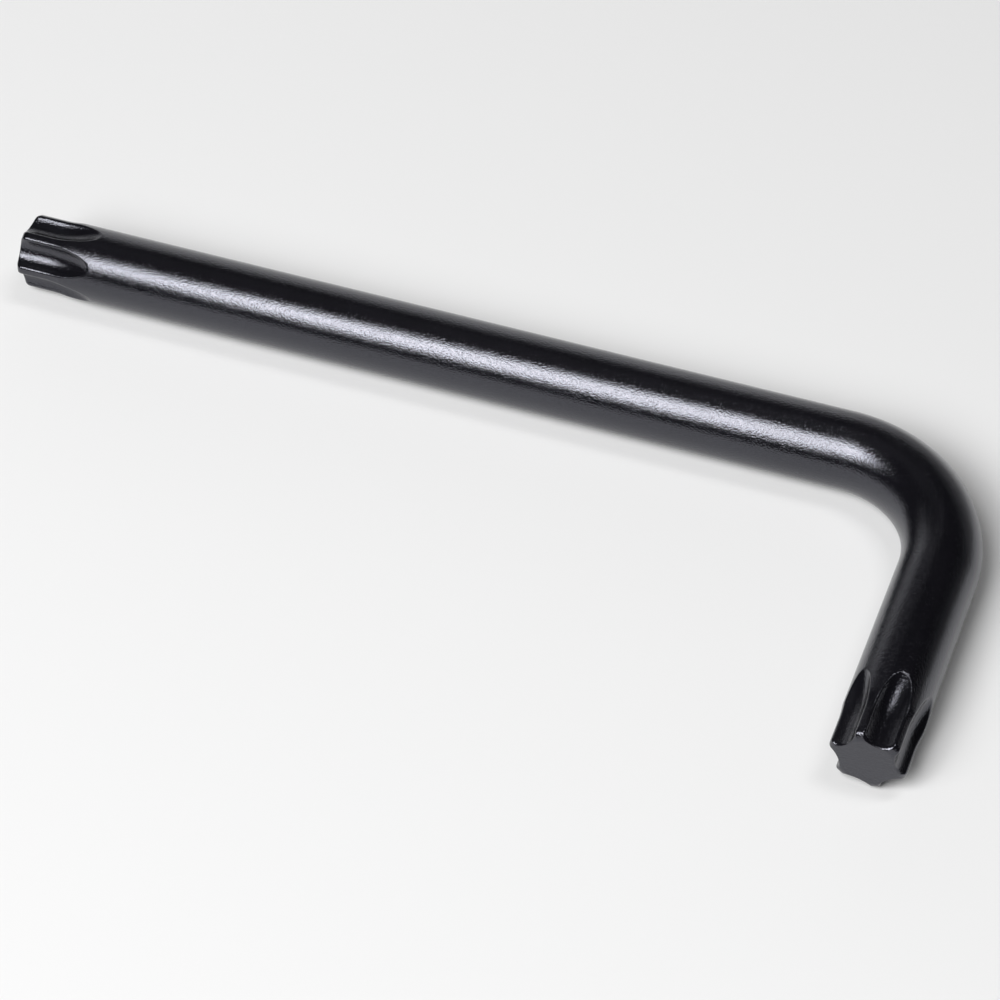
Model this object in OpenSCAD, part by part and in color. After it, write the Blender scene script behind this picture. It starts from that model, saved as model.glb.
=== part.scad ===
// Six-lobe star key: one round steel bar, bent to a right angle, with a star
// drive formed on each end. The key lies flat on z = 0, with the long arm along X
// and the short arm along Y. The origin is the middle of the key's footprint.

/* [Bar] */
// Diameter of the round bar
bar_d = 7; // [6.9:0.1:9]
// Radius of the bend, to the middle of the bar
bend_r = 11.5; // [8:0.5:20]

/* [Arms] */
// Length of the long arm, from the back of the bend to the tip
long_arm = 94.2; // [60:0.1:160]
// Length of the short arm, from the back of the bend to the tip
short_arm = 36.3; // [30:0.1:60]

/* [Star] */
// Diameter over the crests of the lobes
star_crest_d = 6.75; // [6.2:0.05:6.8]
// Diameter across the floors of the flutes
star_root_d = 4.85; // [4.4:0.05:5.4]
// Radius of the rounded crest of a lobe
crest_r = 0.52; // [0.4:0.02:0.7]
// Length over which the flutes have their full depth, from the end face
flute_len = 2.9; // [2:0.1:6]
// Radius of the curve in which the floor of a flute runs out to the bar
runout_r = 10; // [4:0.5:16]
// Rounding of the rim of the end face
rim_r = 0.6; // [0.1:0.05:0.7]
// Turn of the long arm's star about its own axis, in degrees
long_star_turn = 7; // [-30:1:30]
// Turn of the short arm's star about its own axis, in degrees
short_star_turn = 15; // [-30:1:30]

/* [Hidden] */
$fn = 96;

LOBES = 6;
black_steel = [0.07, 0.07, 0.08];

bar_r = bar_d / 2;
land_r = star_crest_d / 2;
root_r = star_root_d / 2;
half_pitch = 180 / LOBES;

// The straight stretches, from the end of the bend to the tip
long_straight = long_arm - bar_r - bend_r;
short_straight = short_arm - bar_r - bend_r;

// The arc of a crest would stand just past the turned land on top of the lobe.
// It runs into the hollow arc of the flute beside it, and the small overlap makes
// the two circles cross, where they would otherwise only touch.
crest_proud = 0.01;
arc_overlap = 0.002;
crest_c = land_r + crest_proud - crest_r;
hollow_r = (crest_c ^ 2 + root_r ^ 2 - 2 * crest_c * root_r * cos(half_pitch) - crest_r ^ 2)
    / (2 * (crest_r - root_r + crest_c * cos(half_pitch))) + arc_overlap;
hollow_c = root_r + hollow_r;

// The cutter of one flute reaches past the bar by a clearance. Neighbouring
// cutters stay clear of the middle of the crest between them, by an angle.
cutter_clear = 0.6;
cutter_gap = 1;
cutter_top = bar_r + cutter_clear;
cutter_half = half_pitch - cutter_gap;

// The run-out bends the cutter away from the arm, about a line at runout_c,
// until its floor is clear of the bar. The lands swell to the bar in step with it.
runout_c = root_r + runout_r;
runout_angle = acos(1 - (cutter_top - root_r) / runout_r);
swell_r = runout_c / cos(half_pitch) - land_r;

// A point at radius r and angle a
function polar(r, a) = r * [cos(a), sin(a)];

// Section of the cutter of one flute, which lies along +X: the hollow arc, and
// on each side of it half of the crest of a lobe.
module cutter_section() {
    far_corner = (cutter_top + cutter_clear) / cos(cutter_half);
    difference() {
        intersection() {
            union() {
                translate([hollow_c, 0])
                    circle(hollow_r);
                polygon([
                    [hollow_c, 0],
                    polar(crest_c, -cutter_half),
                    polar(far_corner, -cutter_half),
                    polar(far_corner, cutter_half),
                    polar(crest_c, cutter_half)
                ]);
            }
            translate([0, -cutter_top])
                square([cutter_top, 2 * cutter_top]);
        }
        for (side = [-half_pitch, half_pitch])
            rotate(side)
                translate([crest_c, 0])
                    circle(crest_r);
    }
}

// Cutter of one flute: full depth above z = 0, and the run-out below it.
module flute_cutter() {
    linear_extrude(flute_len + cutter_clear)
        cutter_section();
    translate([runout_c, 0, 0])
        rotate([0, 180, 0])
            rotate([90, 0, 0])
                rotate_extrude(angle = runout_angle)
                    translate([runout_c, 0])
                        mirror([1, 0])
                            cutter_section();
}

// Half section of a turned arm: the bar, its swell down to the lands, and the
// rounded rim of the end face.
module turned_section(length) {
    difference() {
        square([bar_r, length]);
        translate([land_r, length - flute_len])
            square([bar_r, flute_len + cutter_clear]);
        translate([land_r + swell_r, length - flute_len])
            circle(swell_r);
        translate([land_r - rim_r, length - rim_r])
            difference() {
                square(bar_r);
                circle(rim_r);
            }
    }
}

// Straight arm along +Z from z = 0, with the star on its far end.
module arm(length, star_turn) {
    difference() {
        rotate_extrude()
            turned_section(length);
        for (i = [0 : LOBES - 1])
            rotate(star_turn + i * 2 * half_pitch)
                translate([0, 0, length - flute_len])
                    flute_cutter();
    }
}

// Quarter bend in the XY plane, about its own centre of curvature.
module bend() {
    rotate_extrude(angle = 90)
        translate([bend_r, 0])
            circle(bar_r);
}

module star_key() {
    color(black_steel)
        translate([long_arm / 2 - bar_r - bend_r, short_arm / 2 - bar_r - bend_r, bar_r]) {
            bend();
            translate([0, bend_r, 0])
                rotate([0, -90, 0])
                    arm(long_straight, long_star_turn);
            translate([bend_r, 0, 0])
                rotate([90, 0, 0])
                    arm(short_straight, short_star_turn);
        }
}

star_key();
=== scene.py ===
import math

import bpy
import numpy as np
from mathutils import Matrix, Vector


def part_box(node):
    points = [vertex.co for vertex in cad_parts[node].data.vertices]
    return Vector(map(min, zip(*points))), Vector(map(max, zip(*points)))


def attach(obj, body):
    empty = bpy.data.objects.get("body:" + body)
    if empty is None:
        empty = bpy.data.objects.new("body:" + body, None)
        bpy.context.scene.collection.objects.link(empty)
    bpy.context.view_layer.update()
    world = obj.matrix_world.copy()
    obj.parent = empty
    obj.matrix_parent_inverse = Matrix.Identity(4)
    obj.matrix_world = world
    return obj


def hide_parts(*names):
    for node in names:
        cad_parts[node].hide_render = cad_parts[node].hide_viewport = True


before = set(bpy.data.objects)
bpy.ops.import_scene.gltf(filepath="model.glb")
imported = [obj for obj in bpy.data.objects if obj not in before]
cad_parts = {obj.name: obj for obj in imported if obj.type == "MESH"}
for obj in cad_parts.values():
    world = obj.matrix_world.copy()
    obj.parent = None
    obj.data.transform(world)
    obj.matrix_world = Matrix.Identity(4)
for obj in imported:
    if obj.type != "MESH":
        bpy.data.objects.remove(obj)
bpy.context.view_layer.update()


# Star key.
# One bar of hardened steel, bent to a right angle on a round former. Each end is turned down to
# the lands of its star. Six flutes are cut in, and their floors run out in a curve to the bar.
LOBES = 6
HALF_PITCH = math.pi / LOBES

# Sizes of the bar and of its stars, in metres. The stars are turned from straight up, towards
# the outside of the bend.
key_low, key_high = (np.array(corner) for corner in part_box("star_key"))
bar_r = (key_high[2] - key_low[2]) / 2
bend_r = 0.0115
land_r = 0.003375
root_r = 0.002425
hollow_r = 0.00156
corner_r = 0.00030
flute_len = 0.0029
runout_r = 0.010
runout_len = 0.0052
long_star_turn = math.radians(7)
short_star_turn = math.radians(75)

# The rim of the end face is rounded on the lobes, and only just broken in the flutes.
rim_len = 0.00065
rim_in = 0.0009
floor_rim = 0.00006

# The turned bar stays just clear of the lands, so that the star's outline alone shapes them. The
# edge between a flute and the bar is sharp on the star, and softer where the flute runs out.
land_clear = 0.00001
land_soft = 0.00001
edge_soft = 0.00008

# Each land meets its flutes in a small round corner, which touches the land and the hollow.
hollow_c = root_r + hollow_r
corner_c = land_r - corner_r
corner_cos = (corner_c**2 + hollow_c**2 - (hollow_r + corner_r) ** 2) / (2 * corner_c * hollow_c)
corner_turn = math.acos(corner_cos)
corner_x = corner_c * math.cos(corner_turn)
corner_y = corner_c * math.sin(corner_turn)
meet = math.atan2(corner_y, hollow_c - corner_x)

# The flutes bend away about a line at runout_c, and the lands swell to the bar in step with them.
runout_c = root_r + runout_r
swell_r = runout_c / math.cos(HALF_PITCH) - land_r
swell_len = math.sqrt(swell_r**2 - (swell_r - bar_r + land_r) ** 2)


def round_over(depth, length, inset):
    """How far a rounded edge stands back at a depth from the end face."""
    share = np.clip(1 - depth / length, 0, 1)
    return inset * (1 - np.sqrt(1 - share**2))


def turned_radius(depth):
    """Radius of the turned bar at a depth from the end face: rim, land, swell and full bar."""
    past = np.clip(depth - flute_len, 0, swell_len)
    swell = land_r + land_clear + swell_r - np.sqrt(swell_r**2 - past**2)
    return np.minimum(swell, bar_r) - round_over(depth, rim_len, rim_in)


def star_distance(x, y):
    """Distance outside the star's outline, at a point beside a flute's middle line along +x."""
    in_hollow = np.arctan2(y, hollow_c - x) < meet
    on_land = np.arctan2(y, x) > corner_turn
    to_hollow = hollow_r - np.hypot(x - hollow_c, y)
    to_corner = np.hypot(x - corner_x, y - corner_y) - corner_r
    to_land = np.hypot(x, y) - land_r
    return np.where(in_hollow, to_hollow, np.where(on_land, to_land, to_corner))


def soft_max(a, b, width):
    """The larger of two distances, with the edge where they are equal rounded over a width."""
    blend = np.clip(0.5 + 0.5 * (a - b) / width, 0, 1)
    return b + (a - b) * blend + width * blend * (1 - blend)


def outside(radius, around, depth, star_turn):
    """Distance outside the key's surface, at a radius, an angle round the bar and a depth."""
    from_flute = (around - star_turn + HALF_PITCH) % (2 * HALF_PITCH) - HALF_PITCH
    x = radius * np.cos(from_flute)
    y = np.abs(radius * np.sin(from_flute))
    past = np.clip(depth - flute_len, 0, runout_r)
    x_at_full_depth = runout_c - np.sqrt((runout_c - x) ** 2 + past**2)
    lobe_share = np.clip((radius - root_r) / (land_r - root_r), 0, 1)
    length = floor_rim + (rim_len - floor_rim) * lobe_share
    inset = floor_rim + (rim_in - floor_rim) * lobe_share
    bar = radius - turned_radius(depth)
    star = star_distance(x_at_full_depth, y) + round_over(depth, length, inset)
    edge = land_soft + (edge_soft - land_soft) * np.clip(past / swell_len, 0, 1)
    return soft_max(bar, star, edge)


# The surface lies between these two radii all along the bar.
search_from = root_r * 0.8
search_to = bar_r * 1.02
HALVINGS = 24


def surface_radius(around, depth, star_turn):
    """Radius of the surface for each pair of angle and depth, found by halving an interval."""
    low = np.full(np.broadcast(around, depth).shape, search_from)
    high = np.full(low.shape, search_to)
    for _ in range(HALVINGS):
        middle = (low + high) / 2
        is_out = outside(middle, around, depth, star_turn) > 0
        high = np.where(is_out, middle, high)
        low = np.where(is_out, low, middle)
    return (low + high) / 2


# The skin is made of rings of points. On a star they gather where the outline turns sharply.
# Past the full depth of its flutes they spread out evenly, over the length even_out.
AROUND = 288
OUTLINE_SAMPLES = 1201
step = 2 * math.pi / AROUND
even_out = 0.0020


def lobe_angles():
    """Angles over one lobe and flute, close together where the star's outline turns sharply."""
    fine = np.linspace(-HALF_PITCH, HALF_PITCH, OUTLINE_SAMPLES)
    radius = surface_radius(fine, flute_len / 2, 0)
    x, y = radius * np.cos(fine), radius * np.sin(fine)
    run, rise = np.diff(x), np.diff(y)
    heading = np.unwrap(np.arctan2(rise, run))
    turning = np.abs(np.diff(heading, prepend=heading[0]))
    weight = turning + np.hypot(run, rise) / land_r
    total = np.concatenate([[0], np.cumsum(weight)])
    wanted = np.arange(AROUND // LOBES) * total[-1] * LOBES / AROUND
    return np.interp(wanted, total, fine) + HALF_PITCH


one_lobe = lobe_angles()
star_angles = np.concatenate([one_lobe + lobe * 2 * HALF_PITCH for lobe in range(LOBES)])


def ring_angles(depth, star_turn):
    """Angles of the points round the ring at each depth, from a star's spacing to an even one."""
    first = star_turn - HALF_PITCH
    offset = round(first / step)
    even = (np.arange(AROUND) + offset) * step
    share = np.clip((depth - flute_len) / even_out, 0, 1)[:, None]
    mixed = (first + star_angles) * (1 - share) + even * share
    return np.roll(mixed, offset, axis=1)


# How many rings each stretch has, and the rings that fill an end face, as shares of its outline.
RIM_RINGS = 20
FLUTE_RINGS = 8
RUNOUT_RINGS = 65
SHANK_RINGS = 23
BEND_RINGS = 64
FACE_SHARES = (0.97, 0.85, 0.6, 0.3, 0.02)

# The depths of the rings with which each arm begins, from its end face.
runout_end = flute_len + runout_len
rim_steps = rim_len * (1 - np.cos(np.linspace(0, math.pi / 2, RIM_RINGS)))
flute_steps = np.linspace(rim_len, flute_len, FLUTE_RINGS + 1)[1:]
runout_steps = np.linspace(flute_len, runout_end, RUNOUT_RINGS + 1)[1:]
star_steps = np.concatenate([rim_steps, flute_steps, runout_steps])

# The middle lines of the two arms would meet at the elbow, and the bend cuts it short.
elbow = np.array([key_high[0] - bar_r, key_high[1] - bar_r, key_low[2] + bar_r])
bend_middle = elbow - np.array([bend_r, bend_r, 0])
long_straight = bend_middle[0] - key_low[0]
short_straight = bend_middle[1] - key_low[1]
long_tip = np.array([key_low[0], elbow[1], elbow[2]])
short_tip = np.array([elbow[0], key_low[1], elbow[2]])

PLUS_X = np.array([1.0, 0.0, 0.0])
PLUS_Y = np.array([0.0, 1.0, 0.0])
UP = np.array([0.0, 0.0, 1.0])
rings = []


def add_ring(middle, outward, angles, radius):
    """One ring of points: angle 0 is up, and a quarter turn is the outside of the bend."""
    spokes = np.cos(angles)[:, None] * UP + np.sin(angles)[:, None] * outward
    rings.append(middle + spokes * np.broadcast_to(radius, AROUND)[:, None])


def add_straight(tip, inward, outward, length, star_turn, from_tip):
    """The rings of a straight arm, in order from its tip or towards it."""
    shank_steps = np.linspace(runout_end, length, SHANK_RINGS + 1)[1:]
    depths = np.concatenate([star_steps, shank_steps])
    angles = ring_angles(depths, star_turn)
    radii = surface_radius(angles, depths[:, None], star_turn)
    order = range(len(depths)) if from_tip else reversed(range(len(depths)))
    for i in order:
        add_ring(tip + inward * depths[i], outward, angles[i], radii[i])


def add_face(tip, outward, star_turn, from_middle):
    """The flat end face, as rings that grow from the middle or shrink to it."""
    angles = ring_angles(np.zeros(1), star_turn)[0]
    edge = surface_radius(angles, np.zeros(AROUND), star_turn)
    for share in reversed(FACE_SHARES) if from_middle else FACE_SHARES:
        add_ring(tip, outward, angles, edge * share)


add_face(long_tip, PLUS_Y, long_star_turn, from_middle=True)
add_straight(long_tip, PLUS_X, PLUS_Y, long_straight, long_star_turn, from_tip=True)
for turn in np.linspace(0, math.pi / 2, BEND_RINGS + 2)[1:-1]:
    outward = np.array([math.sin(turn), math.cos(turn), 0.0])
    add_ring(bend_middle + bend_r * outward, outward, np.arange(AROUND) * step, bar_r)
add_straight(short_tip, PLUS_Y, PLUS_X, short_straight, short_star_turn, from_tip=False)
add_face(short_tip, PLUS_X, short_star_turn, from_middle=False)

points = np.concatenate(rings)
faces = []
for ring in range(len(rings) - 1):
    start = ring * AROUND
    for i in range(AROUND):
        j = (i + 1) % AROUND
        faces.append((start + i, start + j, start + AROUND + j, start + AROUND + i))
last = (len(rings) - 1) * AROUND
faces.append(tuple(range(AROUND - 1, -1, -1)))
faces.append(tuple(range(last, last + AROUND)))

key_mesh = bpy.data.meshes.new("star_key_skin")
key_mesh.from_pydata(points.tolist(), [], faces)
key_mesh.validate()
key_mesh.shade_smooth()
star_key = bpy.data.objects.new("star_key_skin", key_mesh)
bpy.context.collection.objects.link(star_key)

# Black oxide on blasted steel: near black, satin, with a fine grain that breaks up highlights.
OXIDE_THICK = (0.0028, 0.0027, 0.0040, 1)
OXIDE_THIN = (0.0044, 0.0042, 0.0060, 1)
OXIDE_SHEEN = (0.88, 0.89, 1.0, 1)
OXIDE_IOR = 1.77
ROUGHNESS = (0.13, 0.19)
GLOSS = (0.45, 0.55)
GRAIN_HEIGHT = 0.00003
GRAIN_STRENGTH = 0.94

steel = bpy.data.materials.new("black_oxide_steel")
steel.use_nodes = True
nodes = steel.node_tree.nodes
links = steel.node_tree.links
shader = nodes["Principled BSDF"]
shader.inputs["IOR"].default_value = OXIDE_IOR
shader.inputs["Metallic"].default_value = 0.0
shader.inputs["Specular Tint"].default_value = OXIDE_SHEEN

place = nodes.new("ShaderNodeTexCoord")


def noise(scale, detail, roughness):
    """A noise texture in the key's own coordinates, with features of about 1 / scale metres."""
    texture = nodes.new("ShaderNodeTexNoise")
    texture.inputs["Scale"].default_value = scale
    texture.inputs["Detail"].default_value = detail
    texture.inputs["Roughness"].default_value = roughness
    links.new(place.outputs["Object"], texture.inputs["Vector"])
    return texture


# Most of a noise texture's values lie in this range.
NOISE_LOW = 0.35
NOISE_HIGH = 0.65


def spread(texture, low, high):
    """Maps the usual values of a noise texture on to a range."""
    ranged = nodes.new("ShaderNodeMapRange")
    ranged.inputs["From Min"].default_value = NOISE_LOW
    ranged.inputs["From Max"].default_value = NOISE_HIGH
    ranged.inputs["To Min"].default_value = low
    ranged.inputs["To Max"].default_value = high
    links.new(texture.outputs["Fac"], ranged.inputs["Value"])
    return ranged.outputs["Result"]


blast_grain = noise(scale=6800, detail=1.0, roughness=0.5)
fine_grain = noise(scale=8600, detail=0.5, roughness=0.5)
stain = noise(scale=160, detail=4.0, roughness=0.6)

links.new(spread(blast_grain, *ROUGHNESS), shader.inputs["Roughness"])
links.new(spread(fine_grain, *GLOSS), shader.inputs["Specular IOR Level"])

oxide = nodes.new("ShaderNodeMix")
oxide.data_type = "RGBA"
oxide.inputs["A"].default_value = OXIDE_THICK
oxide.inputs["B"].default_value = OXIDE_THIN
links.new(spread(stain, 0, 1), oxide.inputs["Factor"])
links.new(oxide.outputs["Result"], shader.inputs["Base Color"])

bump = nodes.new("ShaderNodeBump")
bump.inputs["Strength"].default_value = GRAIN_STRENGTH
bump.inputs["Distance"].default_value = GRAIN_HEIGHT
links.new(blast_grain.outputs["Fac"], bump.inputs["Height"])
links.new(bump.outputs["Normal"], shader.inputs["Normal"])
key_mesh.materials.append(steel)

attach(star_key, "root")
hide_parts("star_key")


# Table and sweep.
# A sheet of matt white card lies flat on the table under the key. It curves up behind the key,
# so that no back edge of the table shows.
CARD_WHITE = (0.82, 0.82, 0.82, 1)
CURVE_STEPS = 24
sweep_front = -1.2
sweep_back = 0.80
sweep_half_width = 1.6
sweep_curve = 0.30
sweep_height = 0.45

profile = [(sweep_front, 0.0), (sweep_back, 0.0)]
for i in range(1, CURVE_STEPS + 1):
    turn = math.pi / 2 * i / CURVE_STEPS
    profile.append((sweep_back + sweep_curve * math.sin(turn), sweep_curve * (1 - math.cos(turn))))
profile.append((sweep_back + sweep_curve, sweep_height))
sweep_points = [(side * sweep_half_width, y, z) for y, z in profile for side in (-1, 1)]
sweep_faces = [(2 * i, 2 * i + 1, 2 * i + 3, 2 * i + 2) for i in range(len(profile) - 1)]

sweep_mesh = bpy.data.meshes.new("sweep")
sweep_mesh.from_pydata(sweep_points, [], sweep_faces)
sweep_mesh.shade_smooth()
sweep = bpy.data.objects.new("sweep", sweep_mesh)
bpy.context.collection.objects.link(sweep)

card = bpy.data.materials.new("white_card")
card.use_nodes = True
card_shader = card.node_tree.nodes["Principled BSDF"]
card_shader.inputs["Base Color"].default_value = CARD_WHITE
card_shader.inputs["Roughness"].default_value = 0.9
card_shader.inputs["Specular IOR Level"].default_value = 0.0
sweep_mesh.materials.append(card)


# Camera.
# It looks down on the key from the front right, through a long lens.
aim = Vector((0.00549, -0.00082, 0.0035))
camera_azimuth = math.radians(21.972)
camera_elevation = math.radians(47.613)
camera_roll = math.radians(-2.168)
camera_distance = 0.30055

camera_data = bpy.data.cameras.new("camera")
camera_data.sensor_width = 36.0
camera_data.lens = 124.48
camera_data.clip_start = 0.01
camera = bpy.data.objects.new("camera", camera_data)
bpy.context.collection.objects.link(camera)
towards_camera = Vector((
    math.sin(camera_azimuth) * math.cos(camera_elevation),
    -math.cos(camera_azimuth) * math.cos(camera_elevation),
    math.sin(camera_elevation),
))
camera.location = aim + towards_camera * camera_distance
upright = towards_camera.to_track_quat("Z", "Y").to_matrix()
camera.rotation_euler = (upright @ Matrix.Rotation(camera_roll, 3, "Z")).to_euler()
bpy.context.scene.camera = camera


# Lights.
# A large oval soft box at the front left gives the long arm its bright line, and a smaller one
# beside it carries the line on to the tip. A box above and three weak cards fill in the rest.
def soft_box(name, shape, place, width, depth, power, spin=0):
    """A soft area light that faces the key, turned by an angle about the line to the key."""
    lamp = bpy.data.lights.new(name, "AREA")
    lamp.shape = shape
    lamp.size = width
    lamp.size_y = depth
    lamp.energy = power
    box = bpy.data.objects.new(name, lamp)
    bpy.context.collection.objects.link(box)
    box.location = place
    facing = Vector(place).to_track_quat("Z", "Y").to_matrix()
    box.rotation_euler = (facing @ Matrix.Rotation(math.radians(spin), 3, "Z")).to_euler()


line_place = (-0.140, -0.501, 0.603)
tip_place = (-0.380, -0.480, 0.583)
top_place = (0.27, 0.15, 0.92)
back_place = (-0.26, 0.66, 0.20)
left_place = (-0.50, 0.42, 0.18)
ceiling_place = (-0.25, 0.27, 0.95)
soft_box("line_light", "ELLIPSE", line_place, width=0.44, depth=0.64, power=6.5)
soft_box("tip_light", "ELLIPSE", tip_place, width=0.34, depth=0.36, power=1.7)
soft_box("top_light", "RECTANGLE", top_place, width=0.20, depth=0.40, power=1.5)
soft_box("back_card", "RECTANGLE", back_place, width=0.46, depth=0.48, power=0.36, spin=56)
soft_box("left_card", "RECTANGLE", left_place, width=0.25, depth=0.36, power=0.095)
soft_box("ceiling_card", "RECTANGLE", ceiling_place, width=0.50, depth=0.75, power=0.076)

# The room itself gives a faint, even light.
world = bpy.data.worlds.new("room")
bpy.context.scene.world = world
world.use_nodes = True
room = world.node_tree.nodes["Background"]
room.inputs["Color"].default_value = (1.0, 1.0, 1.0, 1)
room.inputs["Strength"].default_value = 0.02

bpy.context.scene.view_settings.view_transform = "Standard"
